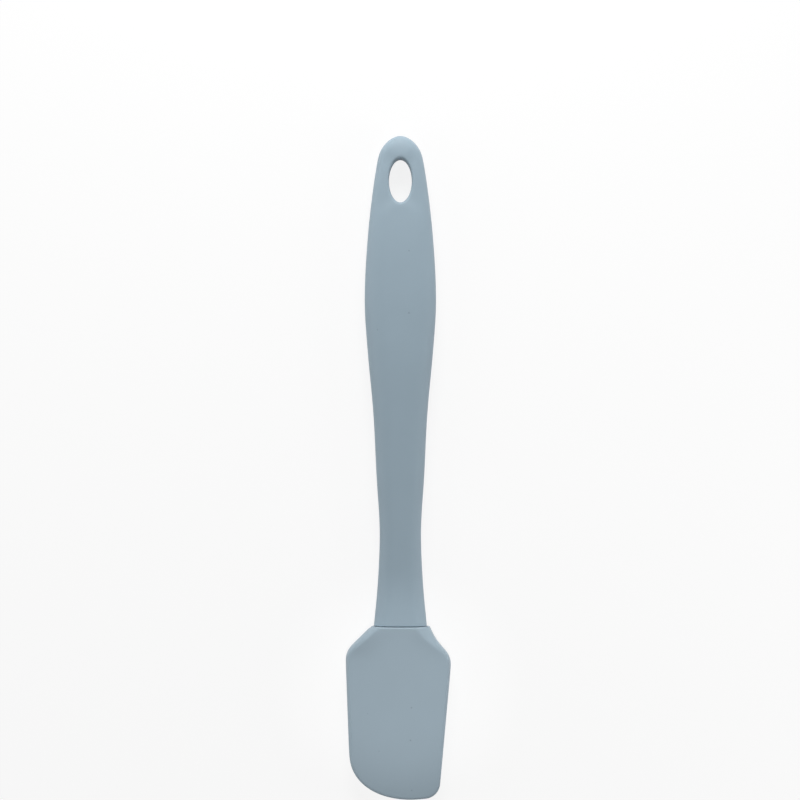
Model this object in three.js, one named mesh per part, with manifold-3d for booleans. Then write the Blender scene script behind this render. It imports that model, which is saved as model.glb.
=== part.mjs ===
// Silicone dough scraper: a slip-on blade head on a silicone handle that a nylon core stiffens.
// Millimetres, +Z up. It lies on its back, with the handle along +Y and the blade towards -Y.
import * as THREE from 'three';
import { LoftGeometry } from 'three/addons/geometries/LoftGeometry.js';
import { mergeVertices } from 'three/addons/utils/BufferGeometryUtils.js';
import Module from 'manifold-3d';

// Handle: the sections that it is lofted through, from the seam with the head to the butt end
const handleLength = 184.5;
const shaftEndWidth = 20.4;
const shaftEndThickness = 9.8;
const shaftEndRadius = 0.6;
const flareFromSeam = 16;
const flareWidth = 17;
const flareThickness = 9.4;
const neckFromSeam = 36;
const neckWidth = 15.5;
const neckThickness = 9.2;
const wristFromSeam = 56;
const wristWidth = 17.9;
const wristThickness = 10;
const thumbFromSeam = 80;
const thumbWidth = 20.3;
const thumbThickness = 11.1;
const palmFromButt = 81;
const palmWidth = 24.6;
const swellFromButt = 62;
const swellWidth = 26.9;
const swellThickness = 12;
const fingerFromButt = 38;
const fingerWidth = 24.5;
const fingerThickness = 11.2;
const loopFromButt = 17;
const loopWidth = 19.7;
const loopThickness = 9.6;
const buttWidth = 13.8;
const buttThickness = 9;
const buttRounding = 8;
const buttBluntness = 0.5;

// Handle: its section has flat lands above and below, and flanks that turn into bevels at the shaft end
const gripLandShare = 0.33;
const shaftLandShare = 0.54;
const gripFullness = 2;
const shaftFullness = 1;
const bevelFade = 40;

// Oval hanging hole
const holeFromButt = 17;
const holeWidth = 9;
const holeLength = 17.2;
const holeRimRadius = 1.2;

// Core: a flat bar in the handle, with windows that the silicone flows through, and a tapered tongue
const gripSkin = 2.6;
const coreThickness = 4.8;
const coreFromButt = 32;
const coreEndRounding = 6;
const coreEndBluntness = 0.25;
const coreLandShare = 0.7;
const windowsFromSeam = 70;
const windowLength = 18;
const windowWidth = 8;
const windowPitch = 24;
const windowEndWeb = 8;
const tongueLength = 34;
const tongueTipWidth = 12;
const tongueTipThickness = 2.4;
const tongueTipRounding = 5;

// Clearances
const coreClearance = 0.3;
const seamGap = 0.3;

// Blade head outline, seen from the front: reaches are from the handle's axis, drops are from the mouth
const headLength = 65.2;
const mouthReachLeft = 10.6;
const mouthReachRight = 11.2;
const mouthRadius = 0.5;
const shoulderReachLeft = 20.7;
const shoulderDropLeft = 9.4;
const shoulderReachRight = 19.5;
const shoulderDropRight = 11.5;
const shoulderHollowReach = 12.6;
const shoulderHollowDrop = 3.9;
const shoulderCorner = 3.6;
const sideReachLeft = 19.2;
const sweepDrop = 48;
const sweepFullness = 0.57;
const sideReachRight = 15.1;
const toeRadius = 6;
const toeRise = 0.4;
const tipReach = 3.8;

// Blade head thickness, and the bevels that run along its shoulders
const mouthThickness = 12;
const mouthSideHeight = 6;
const bladeEdgeThickness = 8;
const tipThickness = 2;
const taperPower = 1.6;
const shoulderBevelWidthLeft = 3;
const shoulderBevelWidthRight = 5;
const shoulderBevelLength = 12.4;
const bladeRimWidth = 2.4;
const bladeRimRise = 0.25;
const rimShareAtTip = 0.25;
const edgeRounding = 0.5;
const tipFlat = 0.15;

// Facets: points in a quarter of a section, steps along a piece, and the angles of rounded ends and rims
const { lerp, smoothstep, degToRad } = THREE.MathUtils;
const handleQuarter = 8;
const stepsBetweenStations = 3;
const coreQuarter = 5;
const tongueSteps = 3;
const barSteps = 14;
const holeSides = 32;
const holeRimSteps = 4;
const windowArcSteps = 6;
const crownSteps = 8;
const edgeSteps = 3;
const shoulderSteps = 8;
const bladeSteps = 6;
const curveHalvings = 32;
const endAngles = [0, 18, 36, 52, 66, 78].map(degToRad);
const sweepAngles = [12, 24, 36, 47, 58, 68, 78, 90].map(degToRad);
const rimAngles = [0, 30, 60].map(degToRad);
const tipAngles = [30, 60, 80].map(degToRad);

const wasm = await Module();
wasm.setup();

// A closed geometry as a solid that can be joined and cut.
function solidOf(geometry) {
  const bare = new THREE.BufferGeometry();
  bare.setAttribute('position', geometry.getAttribute('position'));
  bare.setIndex(geometry.getIndex());
  const merged = mergeVertices(bare);
  const vertProperties = merged.getAttribute('position').array;
  const triVerts = Uint32Array.from(merged.getIndex().array);
  return new wasm.Manifold(new wasm.Mesh({ numProp: 3, vertProperties, triVerts }));
}

// A solid as the geometry of a mesh.
function geometryOf(solid) {
  const { vertProperties, triVerts } = solid.getMesh();
  const geometry = new THREE.BufferGeometry();
  geometry.setAttribute('position', new THREE.BufferAttribute(vertProperties, 3));
  geometry.setIndex(new THREE.BufferAttribute(triVerts, 1));
  geometry.computeVertexNormals();
  return geometry;
}

function loftedSolid(sections) {
  return solidOf(new LoftGeometry(sections, { capStart: true, capEnd: true }));
}

// The point of a curve where one of its coordinates, which runs one way along it, has a given value.
function pointWhere(curve, coordinate, value) {
  const rises = curve.getPoint(1)[coordinate] > curve.getPoint(0)[coordinate];
  let low = 0;
  let high = 1;
  for (let halving = 0; halving < curveHalvings; halving++) {
    const middle = (low + high) / 2;
    const before = curve.getPoint(middle)[coordinate] < value === rises;
    if (before) low = middle;
    else high = middle;
  }
  return curve.getPoint((low + high) / 2);
}

// Evenly spaced values from one end to the other, both ends included.
function steps(from, to, count) {
  return Array.from({ length: count + 1 }, (_, i) => lerp(from, to, i / count));
}

// How far along a rounded end an angle lies: the last angle lies at the end, where a small flat closes it.
function alongEnd(angle) {
  return Math.sin(angle) / Math.sin(endAngles.at(-1));
}

// The ring of points of a bar's section: a flat land, then a flank that is an ellipse at a fullness of 2
// and leaves the land more sharply, like a bevel, below that. One quarter is mirrored into four.
function barSection({ y, halfWidth, halfThickness, landShare, fullness }, quarter) {
  const land = landShare * halfWidth;
  const corner = (i) => {
    if (i === 0) return [0, halfThickness];
    const angle = ((i - 1) / (quarter - 1)) * (Math.PI / 2);
    const across = Math.sin(angle) ** (2 / fullness);
    const up = i === quarter ? 0 : Math.cos(angle);
    return [land + (halfWidth - land) * across, halfThickness * up];
  };
  const ring = [];
  for (let i = 0; i < 4 * quarter; i++) {
    const turned = Math.floor(i / quarter);
    const part = i % quarter;
    const [x, z] = corner(turned % 2 === 0 ? part : quarter - part);
    const right = turned < 2 ? 1 : -1;
    const top = turned === 0 || turned === 3 ? 1 : -1;
    ring.push(new THREE.Vector3(right * x, y, top * z));
  }
  return ring;
}

// The handle's profile: x is the place along it, y the half width and z the half thickness there.
const handleStations = [
  [0, shaftEndWidth, shaftEndThickness],
  [flareFromSeam, flareWidth, flareThickness],
  [neckFromSeam, neckWidth, neckThickness],
  [wristFromSeam, wristWidth, wristThickness],
  [thumbFromSeam, thumbWidth, thumbThickness],
  [handleLength - palmFromButt, palmWidth, swellThickness],
  [handleLength - swellFromButt, swellWidth, swellThickness],
  [handleLength - fingerFromButt, fingerWidth, fingerThickness],
  [handleLength - loopFromButt, loopWidth, loopThickness],
  [handleLength, buttWidth, buttThickness],
];
const handleProfile = new THREE.CatmullRomCurve3(
  handleStations.map(([y, width, thickness]) => new THREE.Vector3(y, width / 2, thickness / 2)),
);

function handleRow(y) {
  const { y: halfWidth, z: halfThickness } = pointWhere(handleProfile, 'x', y);
  const bevel = 1 - smoothstep(y, 0, bevelFade);
  return {
    y,
    halfWidth,
    halfThickness: Math.min(halfThickness, swellThickness / 2),
    landShare: lerp(gripLandShare, shaftLandShare, bevel),
    fullness: lerp(gripFullness, shaftFullness, bevel),
  };
}

// The silicone outside of the handle, still without its hole and the space for the core.
function handleOutside() {
  const shaftEnd = rimAngles.map((angle) => {
    const row = handleRow(shaftEndRadius * (1 - Math.cos(angle)));
    const inset = shaftEndRadius * (1 - Math.sin(angle));
    return { ...row, halfWidth: row.halfWidth - inset, halfThickness: row.halfThickness - inset };
  });
  const places = handleStations.map(([y]) => y);
  places[0] = shaftEndRadius;
  places[places.length - 1] = handleLength - buttRounding;
  const body = places.slice(1).flatMap((y, i) => steps(places[i], y, stepsBetweenStations).slice(0, -1));
  const butt = endAngles.map((angle) => {
    const row = handleRow(handleLength - buttRounding * (1 - alongEnd(angle)));
    const narrowing = Math.cos(angle);
    return {
      ...row,
      halfWidth: row.halfWidth * narrowing,
      halfThickness: row.halfThickness * narrowing ** buttBluntness,
    };
  });
  const rows = [...shaftEnd, ...body.map(handleRow), ...butt];
  return loftedSolid(rows.map((row) => barSection(row, handleQuarter)));
}

// The cutter for the hanging hole: an oval whose rim is rounded where it meets the faces.
function holeCutter() {
  const faceHeight = loopThickness / 2;
  const overcut = 2 * holeRimRadius;
  const rim = steps(0, Math.PI / 2, holeRimSteps).map((angle) => [
    faceHeight - holeRimRadius * (1 - Math.sin(angle)),
    holeRimRadius * (1 - Math.cos(angle)),
  ]);
  const above = [...rim, [faceHeight + overcut, holeRimRadius + overcut]];
  const below = above.map(([z, flare]) => [-z, flare]).reverse();
  const sections = [...below, ...above].map(([z, flare]) =>
    new THREE.EllipseCurve(0, handleLength - holeFromButt, holeWidth / 2 + flare, holeLength / 2 + flare)
      .getPoints(holeSides)
      .slice(1)
      .map(({ x, y }) => new THREE.Vector3(x, y, z)),
  );
  return loftedSolid(sections);
}

// The core's section at a place along it: inset from the handle above the seam, tapering in the tongue.
const coreEnd = handleLength - coreFromButt;

function coreRow(y) {
  const taper = Math.max(0, -y / tongueLength);
  const rootHalfWidth = handleRow(Math.max(0, y)).halfWidth - gripSkin;
  return {
    y,
    halfWidth: lerp(rootHalfWidth, tongueTipWidth / 2, taper),
    halfThickness: lerp(coreThickness, tongueTipThickness, taper) / 2,
    landShare: coreLandShare,
    fullness: gripFullness,
  };
}

// The core without its windows, grown all round by a clearance.
function coreBar(growth) {
  const rounded = (angle, place, rounding, side) => {
    const row = coreRow(place - side * rounding * (1 - alongEnd(angle)));
    return {
      ...row,
      y: row.y + side * growth,
      halfWidth: row.halfWidth * Math.cos(angle) + growth,
      halfThickness: row.halfThickness * Math.cos(angle) ** coreEndBluntness + growth,
    };
  };
  const grown = (y) => {
    const row = coreRow(y);
    return { ...row, halfWidth: row.halfWidth + growth, halfThickness: row.halfThickness + growth };
  };
  const tip = endAngles.map((angle) => rounded(angle, -tongueLength, tongueTipRounding, -1)).reverse();
  const tongue = steps(tongueTipRounding - tongueLength, 0, tongueSteps).slice(1).map(grown);
  const bar = steps(0, coreEnd - coreEndRounding, barSteps).slice(1, -1).map(grown);
  const end = endAngles.map((angle) => rounded(angle, coreEnd, coreEndRounding, 1));
  return loftedSolid([...tip, ...tongue, ...bar, ...end].map((row) => barSection(row, coreQuarter)));
}

// The windows along the bar, each a slot with round ends, made smaller all round by a clearance.
function windowPlugs(clearance) {
  const room = coreEnd - windowEndWeb - windowsFromSeam;
  const count = Math.max(1, Math.floor((room + windowPitch - windowLength) / windowPitch));
  const radius = windowWidth / 2 - clearance;
  const reach = (windowLength - windowWidth) / 2;
  const slot = new THREE.Shape();
  slot.absarc(0, reach, radius, 0, Math.PI);
  slot.absarc(0, -reach, radius, Math.PI, 2 * Math.PI);
  const depth = 2 * coreThickness;
  const plugs = Array.from({ length: count }, (_, i) => {
    const curveSegments = windowArcSteps;
    const geometry = new THREE.ExtrudeGeometry(slot, { depth, bevelEnabled: false, curveSegments });
    geometry.translate(0, windowsFromSeam + windowLength / 2 + i * windowPitch, -depth / 2);
    return solidOf(geometry);
  });
  return plugs.reduce((all, plug) => all.add(plug));
}

// The head's two side outlines in its own frame, with the mouth at y = 0, from the mouth to the tip.
function headOutlines() {
  const toward = (from, to, distance) => to.clone().sub(from).setLength(distance).add(from);
  const point = (x, y) => new THREE.Vector2(x, y);
  const tip = point(tipReach, -headLength);

  const mouthLeft = point(-mouthReachLeft, 0);
  const cornerLeft = point(-shoulderReachLeft, -shoulderDropLeft);
  const sideLeft = point(-sideReachLeft, -sweepDrop);
  const left = new THREE.CurvePath();
  const cornerLeftStart = toward(cornerLeft, mouthLeft, shoulderCorner);
  const cornerLeftEnd = toward(cornerLeft, sideLeft, shoulderCorner);
  left.add(new THREE.LineCurve(mouthLeft, cornerLeftStart));
  left.add(new THREE.QuadraticBezierCurve(cornerLeftStart, cornerLeft, cornerLeftEnd));
  left.add(new THREE.LineCurve(cornerLeftEnd, sideLeft));
  const sweepCorner = point(-sideReachLeft, -headLength);
  const sweepDown = sideLeft.clone().lerp(sweepCorner, sweepFullness);
  const sweepAcross = tip.clone().lerp(sweepCorner, sweepFullness);
  left.add(new THREE.CubicBezierCurve(sideLeft, sweepDown, sweepAcross, tip));

  const mouthRight = point(mouthReachRight, 0);
  const hollow = point(shoulderHollowReach, -shoulderHollowDrop);
  const cornerRight = point(shoulderReachRight, -shoulderDropRight);
  const toeCentre = point(sideReachRight - toeRadius, toeRise + toeRadius - headLength);
  const sideRight = point(sideReachRight, toeCentre.y);
  const right = new THREE.CurvePath();
  const hollowEnd = toward(hollow, cornerRight, hollow.distanceTo(mouthRight));
  const cornerRightStart = toward(cornerRight, hollow, shoulderCorner);
  const cornerRightEnd = toward(cornerRight, sideRight, shoulderCorner);
  right.add(new THREE.QuadraticBezierCurve(mouthRight, hollow, hollowEnd));
  right.add(new THREE.LineCurve(hollowEnd, cornerRightStart));
  right.add(new THREE.QuadraticBezierCurve(cornerRightStart, cornerRight, cornerRightEnd));
  right.add(new THREE.LineCurve(cornerRightEnd, sideRight));
  right.add(new THREE.EllipseCurve(toeCentre.x, toeCentre.y, toeRadius, toeRadius, 0, -Math.PI / 2, true));
  right.add(new THREE.LineCurve(point(toeCentre.x, toeRise - headLength), tip));
  return { left, right };
}

// How much is left of a straight fall from 1 to 0 between two places.
function straightFall(place, from, to) {
  return THREE.MathUtils.clamp((to - place) / (to - from), 0, 1);
}

// One ring of the head at a distance below its mouth: side walls, rounded into bevels that rise to a
// crease, and a crown between the creases. The inset rounds the mouth's rim, the flattening the tip.
function headSection({ drop, inset = 0, flattening = 1 }, { left, right }) {
  const outlineDrop = Math.min(drop, headLength - tipFlat);
  const leftX = pointWhere(left, 'y', -outlineDrop).x + inset;
  const rightX = pointWhere(right, 'y', -outlineDrop).x - inset;
  const blend = smoothstep(drop, 0, shoulderBevelLength);
  const taper = straightFall(drop, mouthRadius, headLength) ** taperPower;
  const centre = lerp(tipThickness, mouthThickness, taper) / 2;
  const blade = lerp(tipThickness, bladeEdgeThickness, taper) / 2;
  const edge = lerp(mouthSideHeight / 2, blade, blend);
  const crease = lerp(mouthThickness / 2, lerp(blade, centre, bladeRimRise), blend);
  const widest = rimShareAtTip * (rightX - leftX);
  const [bandLeft, bandRight] = [shoulderBevelWidthLeft, shoulderBevelWidthRight].map((bevel) =>
    Math.min(lerp(bevel, bladeRimWidth, blend), widest),
  );

  const heightAt = (height) => (height - inset) * flattening;
  const wallTop = new THREE.Vector2(0, heightAt(edge));
  const flank = (band) => {
    const bevelTop = new THREE.Vector2(band, heightAt(crease));
    const wallEnd = wallTop.clone().multiplyScalar(1 - edgeRounding);
    const bevelStart = wallTop.clone().lerp(bevelTop, Math.min(edge / band, edgeRounding));
    const edgeCurve = new THREE.QuadraticBezierCurve(wallEnd, wallTop, bevelStart);
    return [new THREE.Vector2(0, 0), ...edgeCurve.getPoints(edgeSteps)];
  };
  const crown = steps(-1, 1, crownSteps).map((across) => [
    lerp(leftX + bandLeft, rightX - bandRight, (across + 1) / 2),
    heightAt(lerp(centre, crease, across ** 2)),
  ]);
  const upper = [
    ...flank(bandLeft).map(({ x, y: z }) => [leftX + x, z]),
    ...crown,
    ...flank(bandRight).map(({ x, y: z }) => [rightX - x, z]).reverse(),
  ];
  const lower = upper.slice(1, -1).reverse().map(([x, z]) => [x, -z]);
  return [...upper, ...lower].map(([x, z]) => new THREE.Vector3(x, -drop, z));
}

function headOutside() {
  const outlines = headOutlines();
  const mouth = rimAngles.map((angle) => ({
    drop: mouthRadius * (1 - Math.cos(angle)),
    inset: mouthRadius * (1 - Math.sin(angle)),
  }));
  const shoulders = steps(mouthRadius, shoulderBevelLength, shoulderSteps);
  const blade = steps(shoulderBevelLength, sweepDrop, bladeSteps).slice(1);
  const tipRadius = tipThickness / 2;
  const sweep = sweepAngles.map((angle) => lerp(sweepDrop, headLength - tipRadius, Math.sin(angle)));
  const tip = tipAngles.map((angle) => ({
    drop: headLength - tipRadius * (1 - Math.sin(angle) / Math.sin(tipAngles.at(-1))),
    flattening: Math.cos(angle),
  }));
  const full = [...shoulders, ...blade, ...sweep].map((drop) => ({ drop }));
  const rows = [...mouth, ...full, ...tip].reverse();
  return loftedSolid(rows.map((row) => headSection(row, outlines)));
}

// Materials
const silicone = { color: 0x93a7b3, roughness: 0.62, metalness: 0 };
const nylon = { color: 0x2b2f33, roughness: 0.5, metalness: 0 };

function piece(name, solid, finish) {
  const mesh = new THREE.Mesh(geometryOf(solid), new THREE.MeshStandardMaterial(finish));
  mesh.name = name;
  return mesh;
}

// Assembly: the core and its grip share the handle's frame, and the head hangs below the seam
const core = coreBar(0).subtract(windowPlugs(0));
const coreSpace = coreBar(coreClearance).subtract(windowPlugs(coreClearance));
const grip = handleOutside().subtract(holeCutter()).subtract(coreSpace);
const pocket = coreBar(coreClearance).translate([0, seamGap, 0]);

const handle = new THREE.Group();
handle.add(piece('handle_core', core, nylon), piece('handle_grip', grip, silicone));

const head = new THREE.Group();
head.position.y = -seamGap;
head.add(piece('blade_head', headOutside().subtract(pocket), silicone));

const scraper = new THREE.Group();
scraper.add(handle, head);

// The origin is under the middle of the scraper, on the surface that it lies on
const box = new THREE.Box3().setFromObject(scraper);
const middle = box.getCenter(new THREE.Vector3());
handle.position.set(-middle.x, -middle.y, -box.min.z);
head.position.set(-middle.x, -middle.y - seamGap, -box.min.z);

export default scraper;
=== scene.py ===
# Silicone dough scraper: a slip-on blade head on a silicone handle that a nylon core stiffens.
# The frame is in metres, +Z up. The scraper lies on its back, with the handle along +Y.
import math

import bmesh
import bpy
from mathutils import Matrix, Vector


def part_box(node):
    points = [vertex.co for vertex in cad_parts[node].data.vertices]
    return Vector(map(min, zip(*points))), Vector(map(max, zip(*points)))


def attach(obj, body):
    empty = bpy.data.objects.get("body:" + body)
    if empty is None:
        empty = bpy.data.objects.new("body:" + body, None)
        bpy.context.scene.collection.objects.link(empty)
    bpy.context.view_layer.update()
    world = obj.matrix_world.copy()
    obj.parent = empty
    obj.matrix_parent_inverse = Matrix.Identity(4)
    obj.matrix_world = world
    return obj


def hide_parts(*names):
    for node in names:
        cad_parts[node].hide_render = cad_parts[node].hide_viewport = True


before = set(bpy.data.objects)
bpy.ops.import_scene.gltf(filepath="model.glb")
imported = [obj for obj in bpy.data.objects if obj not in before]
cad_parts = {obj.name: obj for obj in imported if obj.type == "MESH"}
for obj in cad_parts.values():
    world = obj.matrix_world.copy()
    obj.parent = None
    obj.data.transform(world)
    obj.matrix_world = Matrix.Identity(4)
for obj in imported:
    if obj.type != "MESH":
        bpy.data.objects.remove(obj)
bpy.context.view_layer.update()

MM = 0.001

# Places in the frame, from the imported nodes
grip_low, grip_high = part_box("handle_grip")
head_low, head_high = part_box("blade_head")
axis_x = (grip_low.x + grip_high.x) / 2
mid_z = (grip_low.z + grip_high.z) / 2
seam = Vector((axis_x, grip_low.y, mid_z))
mouth = Vector((axis_x, head_high.y, mid_z))
handle_length = (grip_high.y - grip_low.y) / MM
head_length = (head_high.y - head_low.y) / MM

# Handle in millimetres: distance from the seam, width and thickness
HANDLE_STATIONS = [
    (0, 20, 9.8),
    (16, 17, 9.4),
    (36, 15.5, 9.2),
    (56, 17.9, 10),
    (80, 20.3, 11.1),
    (handle_length - 81, 24.6, 12),
    (handle_length - 62, 26.9, 12),
    (handle_length - 38, 24.5, 11.2),
    (handle_length - 17, 19.7, 9.6),
    (handle_length, 13.8, 9),
]
SWELL_THICKNESS = 12
SHAFT_END_RADIUS = 0.4
SHAFT_END_INSETS = (2.2, 1.1)
BUTT_ROUNDING = 8
BUTT_BLUNTNESS = 0.5
BEVEL_FADE = 40

# Sections of the bars: the flat lands' share of the width, and how full the flanks are
GRIP_SECTION = (0.33, 2.0)
SHAFT_SECTION = (0.54, 1.1)
CORE_SECTION = (0.7, 2.0)

# Hanging hole in millimetres: its waist is drawn at a share of the solid's, as the soft rim widens its look
HOLE_FROM_BUTT = 17
HOLE_WIDTH = 9
HOLE_LENGTH = 17.2
HOLE_RIM_RADIUS = 1.2
HOLE_WAIST_SHARE = 0.965

# Core in millimetres
GRIP_SKIN = 2.6
CORE_THICKNESS = 4.8
CORE_FROM_BUTT = 32
CORE_END_ROUNDING = 6
CORE_BLUNTNESS = 0.25
SLOT_FLARE = 0.25
WINDOW_STARTS = (70, 94, 118)
WINDOW_LENGTH = 18
WINDOW_WIDTH = 8
WINDOW_RIM_RADIUS = 0.4
WINDOW_ROUNDNESS = 0.6
TONGUE_LENGTH = 34
TONGUE_TIP_WIDTH = 12
TONGUE_TIP_THICKNESS = 2.4
TONGUE_TIP_ROUNDING = 5
CORE_CLEARANCE = 0.3
SEAM_GAP = (grip_low.y - head_high.y) / MM

# Blade head in millimetres, from the handle's axis and down from the mouth
MOUTH_LEFT = Vector((-11.1, 0))
MOUTH_RIGHT = Vector((11.4, 0))
MOUTH_RADIUS = 0.5
MOUTH_STEP = 0.9
SHOULDER_LEFT = Vector((-20.7, -9.4))
SHOULDER_RIGHT = Vector((19.5, -11.5))
SHOULDER_HOLLOW = Vector((12.6, -3.9))
SHOULDER_CORNER = 3.6
SWEEP_START = Vector((-19.2, -48))
SWEEP_FULLNESS = 0.59
TIP = Vector((3.8, -head_length))
SIDE_REACH_RIGHT = 15.1
TOE_RADIUS = 6
TOE_RISE = 0.4
MOUTH_THICKNESS = 12
MOUTH_SIDE_HEIGHT = 6
BLADE_EDGE_THICKNESS = 8
TIP_THICKNESS = 2
TAPER_POWER = 1.6
SHOULDER_BEVEL_LEFT = 3
SHOULDER_BEVEL_RIGHT = 5
SHOULDER_BEVEL_LENGTH = 12.4
BLADE_RIM_WIDTH = 2.4
BLADE_RIM_RISE = 0.25
CREASE_SOFTNESS = 0.5
EDGE_CORNER = 0.9
EDGE_CORNER_SHARE = 0.6
EDGE_ROUNDING = (0.12, 0.66)
SPINE_X = -2
SPINE_END = -45

# Head's lip in millimetres: its reach into the seam's gap, its rows as depth and inset, and its slight dip
LIP_REACH = 0.18
LIP_ROWS = ((-0.15, 0.12), (0, 0.4), (0, 0.8))
LIP_SIDE_SHARE = 0.4
LIP_DIP = 0.06
LIP_DIP_X = 3
LIP_DIP_REACH = 6
POCKET_FLARE = 0.3
POCKET_SQUARENESS = 0.5

# Cages: points in a quarter of a bar's section, and the width that smoothing would take off the handle
QUARTER = 6
RING = 4 * QUARTER
CAGE_GAIN = 1.011

# Cages: angles in degrees of the rows round ends and rims
SHAFT_END_ANGLES = (0, 30, 60, 90)
BUTT_ANGLES = (14, 30, 46, 60, 72, 81, 87)
CORE_END_ANGLES = (24, 44, 62, 78, 87)
CAVITY_END_ANGLES = (86, 70, 50, 28)
POCKET_END_ANGLES = (24, 44, 62, 78)

# Cages: places of rows in millimetres, from the seam along the handle and from the mouth in the pocket
SLOT_ROWS = (1.2, 0.5, 0.12)
SHAFT_ROWS = (1.6, 3.5)
PALM_START = 7
PALM_END_FROM_BUTT = 38
PALM_STEPS = 28
WINDOW_LEAD = 3
POCKET_ROWS = (-0.15, -0.6, -8, -16, -24, TONGUE_TIP_ROUNDING - TONGUE_LENGTH)

# Cages: rows along the blade's foot that bend with it, and how late the bend sets in
BENT_ROWS = 7
BEND_POWER = 1.6


def lerp(a, b, share):
    return a + (b - a) * share


def clamp(value, low=0.0, high=1.0):
    return max(low, min(high, value))


def smoothstep(value, start, end):
    share = clamp((value - start) / (end - start))
    return share * share * (3 - 2 * share)


def steps(start, end, count):
    """Values from one end to the other in even steps, both ends included."""
    return [lerp(start, end, i / count) for i in range(count + 1)]


class Cage:
    """A low mesh shaped in edit mode in millimetres, which subdivision then makes smooth."""

    def __init__(self, name, origin):
        self.piece = bpy.context.object
        self.piece.name = name
        self.piece.data.name = name
        self.piece.location = origin
        bpy.ops.object.mode_set(mode="EDIT")
        self.rings = []

    def mesh(self):
        mesh = bmesh.from_edit_mesh(self.piece.data)
        mesh.verts.ensure_lookup_table()
        return mesh

    def move(self, where):
        """Moves every selected point to the place that where() gives for its old one."""
        mesh = self.mesh()
        for point in mesh.verts:
            if point.select:
                point.co = Vector(where(point.co / MM)) * MM
        bmesh.update_edit_mesh(self.piece.data)

    def extrude(self, where):
        bpy.ops.mesh.extrude_region()
        self.move(where)

    def select(self, kind, wanted):
        """Selects only the points, edges or faces that wanted() picks."""
        bpy.ops.mesh.select_mode(type={"verts": "VERT", "edges": "EDGE", "faces": "FACE"}[kind])
        bpy.ops.mesh.select_all(action="DESELECT")
        mesh = self.mesh()
        for item in getattr(mesh, kind):
            item.select = bool(wanted(item))
        mesh.select_flush_mode()
        bmesh.update_edit_mesh(self.piece.data)

    def extrude_ring(self, ring):
        """Extrudes the last ring of points to the next one, in the same order."""
        last = self.rings[-1]
        mesh = self.mesh()
        order = {tuple(mesh.verts[number].co): i for i, number in enumerate(last)}
        bpy.ops.mesh.extrude_region()
        mesh = self.mesh()
        mesh.verts.index_update()
        numbers = [0] * len(ring)
        for point in mesh.verts:
            if point.select:
                i = order[tuple(point.co)]
                numbers[i] = point.index
                point.co = Vector(ring[i]) * MM
        bmesh.update_edit_mesh(self.piece.data)
        self.rings.append(numbers)

    def finish(self, levels, node, reach=0.0):
        """Closes and smooths the mesh, and fits it to the CAD node's box with some reach past +Y."""
        bpy.ops.mesh.select_mode(type="VERT")
        bpy.ops.mesh.select_all(action="SELECT")
        bpy.ops.mesh.remove_doubles(threshold=1e-7)
        bpy.ops.mesh.normals_make_consistent(inside=False)
        bpy.ops.object.mode_set(mode="OBJECT")
        smoothing = self.piece.modifiers.new("smoothing", "SUBSURF")
        smoothing.levels = levels
        smoothing.render_levels = levels
        bpy.ops.object.modifier_apply(modifier=smoothing.name)
        bpy.ops.object.transform_apply(location=True, rotation=True, scale=True)
        points = self.piece.data.vertices
        low_corner, high_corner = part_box(node)
        high_corner = high_corner + Vector((0, reach * MM, 0))
        for axis, (low, high) in enumerate(zip(low_corner, high_corner)):
            places = [point.co[axis] for point in points]
            start = min(places)
            stretch = (high - low) / (max(places) - start)
            for point, place in zip(points, places):
                point.co[axis] = low + (place - start) * stretch
        bpy.ops.object.shade_smooth()
        return self.piece


def loft(name, origin, rings):
    """A cage whose first ring of points is extruded through the others, all of them kept by place."""
    bpy.ops.object.select_all(action="DESELECT")
    bpy.ops.mesh.primitive_circle_add(vertices=len(rings[0]), fill_type="NGON")
    cage = Cage(name, origin)
    mesh = cage.mesh()
    for point, place in zip(mesh.verts, rings[0]):
        point.co = Vector(place) * MM
    bmesh.update_edit_mesh(cage.piece.data)
    cage.rings.append(list(range(len(rings[0]))))
    bpy.ops.mesh.select_all(action="SELECT")
    for ring in rings[1:]:
        cage.extrude_ring(ring)
    points = cage.mesh().verts
    cage.rings = [[tuple(points[number].co) for number in ring] for ring in cage.rings]
    return cage


# Handle sections


def bar_ring(y, half_width, half_thickness, section):
    """A ring round a bar: flat lands, and flanks that are ellipses at a fullness of 2."""
    land_share, fullness = section
    land = land_share * half_width

    def corner(i):
        if i == 0:
            return 0, half_thickness
        angle = (i - 1) / (QUARTER - 1) * math.pi / 2
        across = math.sin(angle) ** (2 / fullness)
        up = 0 if i == QUARTER else math.cos(angle)
        return land + (half_width - land) * across, half_thickness * up

    ring = []
    for i in range(RING):
        turned, part = divmod(i, QUARTER)
        x, z = corner(part if turned % 2 == 0 else QUARTER - part)
        right = 1 if turned < 2 else -1
        top = 1 if turned in (0, 3) else -1
        ring.append((right * x, y, top * z))
    return ring


def handle_size(y):
    """The handle's half width and half thickness at a distance from the seam."""
    places = [station[0] for station in HANDLE_STATIONS]
    last = len(places) - 2
    i = next((k for k in range(last) if y < places[k + 1]), last)
    share = (y - places[i]) / (places[i + 1] - places[i])

    def through(column):
        values = [station[column] for station in HANDLE_STATIONS]

        def slope(k):
            low, high = max(k - 1, 0), min(k + 1, len(values) - 1)
            return (values[high] - values[low]) / (places[high] - places[low])

        width = places[i + 1] - places[i]
        a, b = values[i], values[i + 1]
        start, end = slope(i) * width, slope(i + 1) * width
        s = share
        return (
            a * (1 + 2 * s) * (1 - s) ** 2
            + start * s * (1 - s) ** 2
            + b * s * s * (3 - 2 * s)
            - end * s * s * (1 - s)
        )

    return through(1) / 2, min(through(2), SWELL_THICKNESS) / 2


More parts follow.
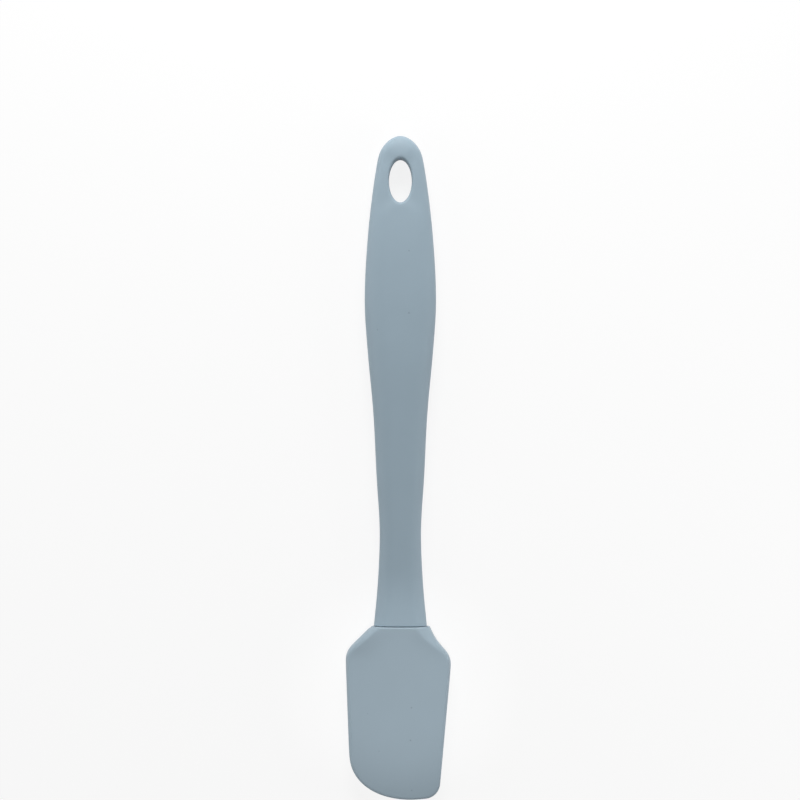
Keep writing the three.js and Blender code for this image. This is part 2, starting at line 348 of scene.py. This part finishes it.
def handle_ring(y, inset=0.0, narrowing=1.0):
    half_width, half_thickness = handle_size(y)
    bevel = 1 - smoothstep(y, 0, BEVEL_FADE)
    section = [lerp(a, b, bevel) for a, b in zip(GRIP_SECTION, SHAFT_SECTION)]
    return bar_ring(
        y,
        (half_width - inset) * narrowing * CAGE_GAIN,
        (half_thickness - inset) * narrowing**BUTT_BLUNTNESS,
        section,
    )


core_end = handle_length - CORE_FROM_BUTT


def core_size(y):
    """The core's half width and half thickness at a distance from the seam."""
    taper = clamp(-y / TONGUE_LENGTH)
    half_width = lerp(handle_size(max(0, y))[0] - GRIP_SKIN, TONGUE_TIP_WIDTH / 2, taper)
    return half_width, lerp(CORE_THICKNESS, TONGUE_TIP_THICKNESS, taper) / 2


def core_ring(y, growth, narrowing=1.0):
    half_width, half_thickness = core_size(y)
    return bar_ring(
        y,
        half_width * narrowing + growth,
        half_thickness * narrowing**CORE_BLUNTNESS + growth,
        CORE_SECTION,
    )


def core_end_rings(angles, growth):
    """Rings round the core's end in the grip."""
    return [
        core_ring(core_end - CORE_END_ROUNDING * (1 - math.sin(angle)), growth, math.cos(angle))
        for angle in map(math.radians, angles)
    ]


def tongue_tip(angle):
    """A ring's place on the tongue's rounded tip, and how far it narrows there."""
    return TONGUE_TIP_ROUNDING * (1 - math.sin(angle)) - TONGUE_LENGTH, math.cos(angle)


def bar_places():
    """Distances from the seam of the rows along the core's bar, seven of them at each window."""
    places = steps(0, WINDOW_STARTS[0] - 2 * WINDOW_LEAD, 8)[1:]
    for start in WINDOW_STARTS:
        places += [start - WINDOW_LEAD, *steps(start, start + WINDOW_LENGTH, 6)]
    return [*places, *steps(places[-1], core_end - CORE_END_ROUNDING, 3)[1:]]


def make_grip():
    """The silicone grip: from the end of the core's space, out at the seam and up to the butt."""
    cavity_end = core_end_rings(CAVITY_END_ANGLES, CORE_CLEARANCE)
    cavity = [core_ring(y, CORE_CLEARANCE) for y in [*reversed(bar_places()), *SLOT_ROWS]]
    slot = core_ring(0, CORE_CLEARANCE + SLOT_FLARE)
    end_face = [handle_ring(0, inset) for inset in SHAFT_END_INSETS]
    rim = [
        handle_ring(SHAFT_END_RADIUS * (1 - math.cos(angle)), SHAFT_END_RADIUS * (1 - math.sin(angle)))
        for angle in map(math.radians, SHAFT_END_ANGLES)
    ]
    hole_middle = handle_length - HOLE_FROM_BUTT
    hole_start, hole_end = hole_middle - HOLE_LENGTH / 2, hole_middle + HOLE_LENGTH / 2
    palm = steps(PALM_START, handle_length - PALM_END_FROM_BUTT, PALM_STEPS)
    before_hole = steps(palm[-1], hole_start, 4)[1:-1]
    at_hole = steps(hole_start, hole_end, 6)
    body = [handle_ring(y) for y in [*SHAFT_ROWS, *palm, *before_hole, *at_hole]]
    butt_start = handle_length - BUTT_ROUNDING
    butt = [
        handle_ring(butt_start + BUTT_ROUNDING * math.sin(angle), narrowing=math.cos(angle))
        for angle in map(math.radians, BUTT_ANGLES)
    ]
    inside = [*cavity_end, *cavity]
    cage = loft("grip", seam, [*inside, slot, *end_face, *rim, *body, *butt])
    inner, outer = cage.rings[: len(inside)], cage.rings[len(inside) : -len(butt)]
    oval = (HOLE_WAIST_SHARE * HOLE_WIDTH, HOLE_WAIST_SHARE * HOLE_LENGTH, 1)
    open_through(cage, rows_between(outer, hole_start, hole_end), oval, HOLE_RIM_RADIUS)
    gap = 2 * CORE_CLEARANCE
    pillar = (WINDOW_WIDTH - gap, WINDOW_LENGTH - gap, WINDOW_ROUNDNESS)
    for start in WINDOW_STARTS:
        open_through(cage, rows_between(inner, start, start + WINDOW_LENGTH), pillar, WINDOW_RIM_RADIUS)
    return cage.finish(levels=2, node="handle_grip")


def rows_between(rings, start, end):
    """The rings of a bar between two distances along it, in that order."""
    inside = [ring for ring in rings if start - 0.1 < ring[0][1] / MM < end + 0.1]
    return sorted(inside, key=lambda ring: ring[0][1])


def open_through(cage, rows, outline, rim_radius):
    """Opens a bar between patches of its front and back: width, length and power give the outline."""
    width, length, power = outline
    reach = len(rows) // 2
    side = 2
    middle = rows[reach][0][1]
    patch = {}
    for j, row in enumerate(rows):
        for i in range(-side, side + 1):
            patch[row[i]] = (i, j - reach)
            patch[row[RING // 2 - i]] = (i, j - reach)
    mesh = cage.mesh()
    inside, rim = set(), set()
    for point in mesh.verts:
        i, j = patch.get(tuple(point.co), (None, None))
        if i is None:
            continue
        if abs(i) == side or abs(j) == reach:
            turn = abs(j) if abs(i) == side else reach + side - abs(i)
            angle = turn / (reach + side) * math.pi / 2
            across = width / 2 * max(0, math.cos(angle)) ** power * MM
            along = length / 2 * math.sin(angle) ** power * MM
            point.co.x = math.copysign(across, i)
            point.co.y = middle + math.copysign(along, j)
            rim.add(tuple(point.co))
        inside.add(tuple(point.co))
    bmesh.update_edit_mesh(cage.piece.data)
    cage.select("faces", lambda face: all(tuple(point.co) in inside for point in face.verts))
    bpy.ops.mesh.bridge_edge_loops()

    def on_rim(edge):
        a, b = (point.co for point in edge.verts)
        return tuple(a) in rim and tuple(b) in rim and a.z * b.z > 0

    cage.select("edges", on_rim)
    bpy.ops.mesh.bevel(offset=rim_radius * MM, segments=3, affect="EDGES")


def make_core():
    """The nylon core: a flat bar with windows in the grip, and the tongue that the head slips onto."""
    tip = []
    for angle in map(math.radians, reversed(CORE_END_ANGLES)):
        y, narrowing = tongue_tip(angle)
        tip.append(core_ring(y, 0, narrowing))
    tongue = [core_ring(y, 0) for y in steps(TONGUE_TIP_ROUNDING - TONGUE_LENGTH, 0, 6)]
    bar = [core_ring(y, 0) for y in bar_places()]
    cage = loft("core", seam, [*tip, *tongue, *bar, *core_end_rings(CORE_END_ANGLES, 0)])
    window = (WINDOW_WIDTH, WINDOW_LENGTH, WINDOW_ROUNDNESS)
    for start in WINDOW_STARTS:
        rows = rows_between(cage.rings, start, start + WINDOW_LENGTH)
        open_through(cage, rows, window, WINDOW_RIM_RADIUS)
    return cage.finish(levels=2, node="handle_core")


# Blade head


def between(a, b, count):
    """Points on the way from a to b, without a itself."""
    return [a.lerp(b, i / count) for i in range(1, count + 1)]


def rounded(a, corner, b, count):
    """Points on a rounded corner from a to b, without a itself."""
    return [a.lerp(corner, s).lerp(corner.lerp(b, s), s) for s in steps(0, 1, count)[1:]]


def arc(centre, reach_x, reach_y, start, end, count):
    """Points on an elliptical arc between two angles in degrees, without the first."""
    angles = [math.radians(angle) for angle in steps(start, end, count)[1:]]
    return [centre + Vector((reach_x * math.cos(a), reach_y * math.sin(a))) for a in angles]


def bezier(a, b, c, d, share):
    ab, bc, cd = a.lerp(b, share), b.lerp(c, share), c.lerp(d, share)
    return ab.lerp(bc, share).lerp(bc.lerp(cd, share), share)


def toward(a, b, distance):
    return a + (b - a).normalized() * distance


def head_outline():
    """The outline's stations down the left side, along the bottom and down the right side."""
    start = toward(SHOULDER_LEFT, MOUTH_LEFT, SHOULDER_CORNER)
    end = toward(SHOULDER_LEFT, SWEEP_START, SHOULDER_CORNER)
    sweep_corner = Vector((SWEEP_START.x, TIP.y))
    sweep_down = SWEEP_START.lerp(sweep_corner, SWEEP_FULLNESS)
    sweep_across = TIP.lerp(sweep_corner, SWEEP_FULLNESS)
    sweep = [bezier(SWEEP_START, sweep_down, sweep_across, TIP, s) for s in steps(0, 1, 8)[1:]]
    left = [
        MOUTH_LEFT,
        toward(MOUTH_LEFT, start, MOUTH_STEP),
        *between(MOUTH_LEFT, start, 4),
        *rounded(start, SHOULDER_LEFT, end, 4),
        *between(end, SWEEP_START, 6),
        *sweep[:4],
    ]
    toe_centre = Vector((SIDE_REACH_RIGHT - TOE_RADIUS, TOE_RISE + TOE_RADIUS - head_length))
    toe = (toe_centre, TOE_RADIUS, TOE_RADIUS)
    hollow_end = toward(SHOULDER_HOLLOW, SHOULDER_RIGHT, (SHOULDER_HOLLOW - MOUTH_RIGHT).length)
    start = toward(SHOULDER_RIGHT, SHOULDER_HOLLOW, SHOULDER_CORNER)
    toe_start = Vector((SIDE_REACH_RIGHT, toe_centre.y))
    end = toward(SHOULDER_RIGHT, toe_start, SHOULDER_CORNER)
    right = [
        MOUTH_RIGHT,
        toward(MOUTH_RIGHT, SHOULDER_HOLLOW, MOUTH_STEP),
        *rounded(MOUTH_RIGHT, SHOULDER_HOLLOW, hollow_end, 3),
        *between(hollow_end, start, 1),
        *rounded(start, SHOULDER_RIGHT, end, 4),
        *between(end, toe_start, 7),
        *arc(*toe, 0, -45, 3),
    ]
    toe_bottom = toe_centre - Vector((0, TOE_RADIUS))
    bottom = [
        left[-1],
        *sweep[4:],
        *between(TIP, toe_bottom, 2),
        *arc(*toe, -90, -45, 3),
    ]
    return left, bottom, right


def head_heights(drop):
    """Half heights at a drop below the mouth: the middle, the crease and the edge."""
    taper = clamp((head_length - drop) / (head_length - MOUTH_RADIUS)) ** TAPER_POWER
    blend = smoothstep(drop, 0, SHOULDER_BEVEL_LENGTH)
    middle = lerp(TIP_THICKNESS, MOUTH_THICKNESS, taper) / 2
    blade = lerp(TIP_THICKNESS, BLADE_EDGE_THICKNESS, taper) / 2
    edge = lerp(MOUTH_SIDE_HEIGHT / 2, blade, blend)
    crease = lerp(MOUTH_THICKNESS / 2, lerp(blade, middle, BLADE_RIM_RISE), blend)
    return middle, crease, edge


def rim_points(station):
    """A station's points from the crease out to the edge, each with its half height."""
    x, y = station
    y = min(y, -MOUTH_RADIUS)
    _, crease, edge = head_heights(-y)
    bevel = SHOULDER_BEVEL_LEFT if x < SPINE_X else SHOULDER_BEVEL_RIGHT
    width = lerp(bevel, BLADE_RIM_WIDTH, smoothstep(-y, 0, SHOULDER_BEVEL_LENGTH))
    inward = (Vector((SPINE_X, max(y, SPINE_END))) - Vector((x, y))).normalized()
    corner = min(EDGE_CORNER_SHARE * edge, EDGE_CORNER)
    inside = width - CREASE_SOFTNESS
    round_in, round_up = EDGE_ROUNDING
    levels = [
        (width + CREASE_SOFTNESS, crease),
        (inside, lerp(edge, crease, inside / width)),
        (corner, lerp(edge, crease, corner / width)),
        (round_in * edge, round_up * edge),
        (0, 0),
    ]
    return [(x + inward.x * d, y + inward.y * d, z) for d, z in levels]


def make_head():
    """The blade head: a grid bent to the outline, with its rim extruded, its back mirrored and a pocket."""
    left, bottom, right = head_outline()
    rows, columns = len(left) - 1, len(bottom) - 1
    rims = {"left": [rim_points(s) for s in left], "right": [rim_points(s) for s in right]}
    low = [rim_points(s) for s in bottom]

    def grid_place(u, v):
        i, j = round(u * columns), round(v * rows)
        a, b = Vector(rims["left"][j][0]), Vector(rims["right"][j][0])
        end_a, end_b = Vector(low[0][0]), Vector(low[-1][0])
        bulge = Vector(low[i][0]) - end_a.lerp(end_b, u)
        share = clamp((j - rows + BENT_ROWS) / BENT_ROWS) ** BEND_POWER
        place = a.lerp(b, u) + bulge * share
        middle, crease, _ = head_heights(-place.y)
        across = 2 * (place.x - a.x) / (b.x - a.x) - 1
        place.z = lerp(crease, middle, 1 - across**2)
        return place

    bpy.ops.object.select_all(action="DESELECT")
    bpy.ops.mesh.primitive_grid_add(x_subdivisions=columns, y_subdivisions=rows, size=2 * MM)
    cage = Cage("head", mouth)
    cage.move(lambda p: grid_place((p.x + 1) / 2, (1 - p.y) / 2))

    stations = [*rims["left"], *low[1:-1], *reversed(rims["right"])]
    mouth_y = -MOUTH_RADIUS * MM

    def outer(edge):
        on_mouth = all(abs(point.co.y - mouth_y) < MM / 100 for point in edge.verts)
        return edge.is_boundary and not on_mouth

    cage.select("edges", outer)
    for level in range(1, len(stations[0])):

        def outward(place):
            nearest = min(stations, key=lambda s: (Vector(s[level - 1]) - place).length)
            return nearest[level]

        cage.extrude(outward)

    bpy.ops.object.mode_set(mode="OBJECT")
    mirror = cage.piece.modifiers.new("back", "MIRROR")
    mirror.use_axis = (False, False, True)
    mirror.merge_threshold = MM / 1000
    bpy.ops.object.modifier_apply(modifier=mirror.name)
    bpy.ops.object.mode_set(mode="EDIT")
    open_pocket(cage)
    return cage.finish(levels=3, node="blade_head", reach=LIP_REACH)


def open_pocket(cage):
    """Turns the open mouth inwards: a rounded lip, the mouth's face and the tongue's pocket."""
    bpy.ops.mesh.select_mode(type="EDGE")
    bpy.ops.mesh.select_all(action="DESELECT")
    bpy.ops.mesh.select_non_manifold()
    centre = (MOUTH_LEFT.x + MOUTH_RIGHT.x) / 2
    reach = (MOUTH_RIGHT.x - MOUTH_LEFT.x) / 2
    height = MOUTH_THICKNESS / 2

    def lip(y, inset):
        def where(place):
            x = centre + (place.x - centre) * (1 - LIP_SIDE_SHARE * inset / reach)
            dip = LIP_DIP * math.exp(-(((x - LIP_DIP_X) / LIP_DIP_REACH) ** 2))
            return x, y - dip, place.z * (1 - inset / height)

        return where

    def pocket_size(y, narrowing=1.0):
        half_width, half_thickness = core_size(y - SEAM_GAP)
        half_width *= narrowing
        half_thickness *= narrowing**CORE_BLUNTNESS
        return half_width + CORE_CLEARANCE, half_thickness + CORE_CLEARANCE

    flared = [size + POCKET_FLARE for size in pocket_size(0)]

    def pocket_mouth(place):
        angle = math.atan2(place.z / height, (place.x - centre) / reach)
        across, up = math.cos(angle), math.sin(angle)
        x = math.copysign(abs(across) ** POCKET_SQUARENESS, across) * flared[0]
        z = math.copysign(abs(up) ** POCKET_SQUARENESS, up) * flared[1]
        return x, 0, z

    for y, inset in LIP_ROWS:
        cage.extrude(lip(y, inset))
    cage.extrude(pocket_mouth)
    last = flared
    pocket = [(y, 1.0) for y in POCKET_ROWS]
    pocket += [tongue_tip(math.radians(angle)) for angle in POCKET_END_ANGLES]
    for y, narrowing in pocket:
        size = pocket_size(y, narrowing)
        scale_x, scale_z = size[0] / last[0], size[1] / last[1]
        cage.extrude(lambda place: (place.x * scale_x, y, place.z * scale_z))
        last = size
    bpy.ops.mesh.edge_face_add()


# Materials

# The head's colour is the grip's silicone made a few percent lighter: painted light, standing in for the
# brighter light that falls on the head
HEAD_SILICONE_PAINTED_LIGHTER = (0.296, 0.377, 0.436)
GRIP_SILICONE = (0.284, 0.369, 0.431)
NYLON = (0.03, 0.033, 0.037)
WHITE = (1, 1, 1, 1)
FLOOR_COLOUR = (0.9, 0.9, 0.9, 1)
FLOOR_WHITENESS = 0.85

# Dust: its colour, the cells that may hold a speck, a speck's radius and strength, and shares of cells
DUST = (0.08, 0.09, 0.1)
SPECK_CELL = 4 * MM
SPECK_RADIUS = 0.09
SPECK_STRENGTH = 0.25
GRIP_DUST = 0.05
HEAD_DUST = 0.3


class Shade:
    """A shader socket: arithmetic on it adds Math nodes, and node() adds any other node."""

    def __init__(self, tree, socket=None):
        self.tree = tree
        self.socket = socket

    def node(self, kind, settings=None, inputs=None, output=0):
        """A node of a kind, with its settings set first, then its sockets' values or links."""
        made = self.tree.nodes.new(kind)
        for name, value in (settings or {}).items():
            setattr(made, name, value)
        for name, value in (inputs or {}).items():
            if isinstance(value, Shade):
                self.tree.links.new(value.socket, made.inputs[name])
            else:
                made.inputs[name].default_value = value
        return Shade(self.tree, made.outputs[output])

    def math(self, operation, a, b=0.0):
        return self.node("ShaderNodeMath", {"operation": operation}, {0: a, 1: b})

    def __add__(self, other):
        return self.math("ADD", self, other)

    __radd__ = __add__

    def __mul__(self, other):
        return self.math("MULTIPLY", self, other)

    __rmul__ = __mul__

    def __lt__(self, other):
        return self.math("LESS_THAN", self, other)

    def __gt__(self, other):
        return self.math("GREATER_THAN", self, other)


def blank_material(name):
    """An empty material, and the shade that its nodes grow from."""
    material = bpy.data.materials.new(name)
    material.use_nodes = True
    material.node_tree.nodes.clear()
    return material, Shade(material.node_tree)


def put_out(shade, shader, kind="ShaderNodeOutputMaterial"):
    output = shade.tree.nodes.new(kind)
    shade.tree.links.new(shader.socket, output.inputs["Surface"])


def noise(shade, place, size, detail=2.0):
    """Noise from 0 to 1 whose patches are about as wide as size, in metres."""
    inputs = {"Vector": place, "Scale": 1 / size, "Detail": detail}
    return shade.node("ShaderNodeTexNoise", None, inputs)


def mix_colours(shade, share, a, b):
    inputs = {"Factor": share, 6: a, 7: b}
    return shade.node("ShaderNodeMix", {"data_type": "RGBA"}, inputs, output=2)


def silicone(name, colour, dust):
    """Matt moulded silicone: faint mottling, a fine grain and specks in a share of its cells."""
    material, shade = blank_material(name)
    place = shade.node("ShaderNodeTexCoord", output=3)
    mottle = noise(shade, place, 14 * MM, 3.0)
    cloud = noise(shade, place, 60 * MM, 1.0)
    grain = noise(shade, place, 0.35 * MM, 2.0)
    dark = [value * 0.93 for value in colour] + [1]
    light = [min(1, value * 1.07) for value in colour] + [1]
    tone = mix_colours(shade, (mottle + cloud) * 0.5, dark, light)
    cells = {"Vector": place, "Scale": 1 / SPECK_CELL}
    distance = shade.node("ShaderNodeTexVoronoi", None, cells)
    cell = shade.node("ShaderNodeTexVoronoi", None, cells, output=1)
    chosen = shade.node("ShaderNodeSeparateColor", None, {"Color": cell}) < dust
    speck = (distance < SPECK_RADIUS) * chosen
    tone = mix_colours(shade, speck * SPECK_STRENGTH, tone, [*DUST, 1])
    relief = {"Strength": 0.12, "Distance": 0.04 * MM, "Height": grain}
    bump = shade.node("ShaderNodeBump", None, relief)
    shader = shade.node(
        "ShaderNodeBsdfPrincipled",
        None,
        {
            "Base Color": tone,
            "Roughness": 0.56 + mottle * 0.1,
            "Specular IOR Level": 0.4,
            "Sheen Weight": 0.12,
            "Sheen Roughness": 0.45,
            "Normal": bump,
        },
    )
    put_out(shade, shader)
    return material


def nylon(name, colour):
    """Glass-filled nylon: a dark satin with a fine fibrous fleck."""
    material, shade = blank_material(name)
    place = shade.node("ShaderNodeTexCoord", output=3)
    stretched = shade.node("ShaderNodeMapping", None, {"Vector": place, "Scale": (1.0, 0.25, 1.0)})
    fleck = noise(shade, stretched, 0.5 * MM, 3.0)
    cloud = noise(shade, place, 20 * MM)
    dark = [value * 0.8 for value in colour] + [1]
    light = [value * 1.35 for value in colour] + [1]
    tone = mix_colours(shade, (fleck + cloud) * 0.5, dark, light)
    relief = {"Strength": 0.2, "Distance": 0.05 * MM, "Height": fleck}
    bump = shade.node("ShaderNodeBump", None, relief)
    shader = shade.node(
        "ShaderNodeBsdfPrincipled",
        None,
        {"Base Color": tone, "Roughness": 0.42 + cloud * 0.14, "Normal": bump},
    )
    put_out(shade, shader)
    return material


def seen(shade):
    """One on the rays that show a backdrop: the camera's own, mirrored ones and those through glass."""
    kinds = ("Is Camera Ray", "Is Glossy Ray", "Is Transmission Ray")
    camera, mirrored, clear = (shade.node("ShaderNodeLightPath", output=kind) for kind in kinds)
    return shade.math("MAXIMUM", shade.math("MAXIMUM", camera, mirrored), clear)


def pale_floor():
    """A floor that looks nearly white, with a share of its own shading left to show shadows."""
    material, shade = blank_material("pale_floor")
    lit = shade.node("ShaderNodeBsdfDiffuse", None, {"Color": FLOOR_COLOUR})
    white = shade.node("ShaderNodeEmission", None, {"Color": WHITE, "Strength": 1.0})
    share = seen(shade) * FLOOR_WHITENESS
    put_out(shade, shade.node("ShaderNodeMixShader", None, {0: share, 1: lit, 2: white}))
    return material


# Scene

FLOOR_SIZE = 8
WORLD_LIGHT = 0.127
SOFT_CONE = {"spot_size": math.radians(9.6), "spot_blend": 1}

# Lamps: name, kind, place, target, power in watts, and what sets their size
LAMPS = [
    ("left", "AREA", (-0.8, 0, 0.3), (0, 0, 0), 2.22, {"size": 0.6}),
    ("right", "AREA", (0.4, -0.05, 0.14), (0, -0.05, 0), 0.55, {"size": 0.2}),
    ("top", "AREA", (0, 0.5, 0.3), (0, 0.05, 0), 3.17, {"size": 0.3}),
    ("bottom", "AREA", (0, -0.6, 0.12), (0, -0.06, 0), 0.38, {"size": 0.2}),
    ("wrist", "SPOT", (0, -0.022, 0.6), (0, -0.022, 0), 0.5, SOFT_CONE),
    ("blade", "SPOT", (0, -0.14, 0.6), (0, -0.084, 0), 4, SOFT_CONE),
]

# Camera: it looks straight down at this place, from a distance at which its frame has this width
CAMERA_PLACE = (0.64 * MM, 25.6 * MM)
CAMERA_DISTANCE = 1.0
FRAME_WIDTH = 301.4 * MM


def fit_out(piece, body, node, material):
    """Gives a finished piece its material, and its place in the frame."""
    piece.data.materials.clear()
    piece.data.materials.append(material)
    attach(piece, body)
    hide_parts(node)


def make_floor():
    bpy.ops.object.select_all(action="DESELECT")
    bpy.ops.mesh.primitive_plane_add(size=FLOOR_SIZE)
    floor = bpy.context.object
    floor.name = "floor"
    floor.data.materials.append(pale_floor())


def make_world():
    """A dim white sky for light, which looks plain white."""
    world = bpy.data.worlds.new("studio")
    bpy.context.scene.world = world
    world.use_nodes = True
    world.node_tree.nodes.clear()
    shade = Shade(world.node_tree)
    lit = shade.node("ShaderNodeBackground", None, {"Color": WHITE, "Strength": WORLD_LIGHT})
    white = shade.node("ShaderNodeBackground", None, {"Color": WHITE, "Strength": 1.0})
    both = shade.node("ShaderNodeMixShader", None, {0: seen(shade), 1: lit, 2: white})
    put_out(shade, both, "ShaderNodeOutputWorld")


def put_in_scene(name, data, place):
    holder = bpy.data.objects.new(name, data)
    bpy.context.scene.collection.objects.link(holder)
    holder.location = place
    return holder


def make_lamp(name, kind, place, target, power, settings):
    lamp = bpy.data.lights.new(name, kind)
    lamp.energy = power
    for setting, value in settings.items():
        setattr(lamp, setting, value)
    holder = put_in_scene(name, lamp, place)
    holder.rotation_euler = (Vector(target) - Vector(place)).to_track_quat("-Z", "Y").to_euler()


def make_camera():
    camera = bpy.data.cameras.new("camera")
    camera.sensor_width = 36
    camera.lens = camera.sensor_width * CAMERA_DISTANCE / FRAME_WIDTH
    place = (*CAMERA_PLACE, mid_z + CAMERA_DISTANCE)
    bpy.context.scene.camera = put_in_scene("camera", camera, place)


grip_finish = silicone("grip", GRIP_SILICONE, GRIP_DUST)
# The head's material takes the silicone colour that is lightened as painted light
head_finish = silicone("head", HEAD_SILICONE_PAINTED_LIGHTER, HEAD_DUST)
fit_out(make_grip(), "handle", "handle_grip", grip_finish)
fit_out(make_core(), "handle", "handle_core", nylon("core", NYLON))
fit_out(make_head(), "head", "blade_head", head_finish)
make_floor()
make_world()
for lamp in LAMPS:
    make_lamp(*lamp)
make_camera()
bpy.context.scene.view_settings.view_transform = "Standard"
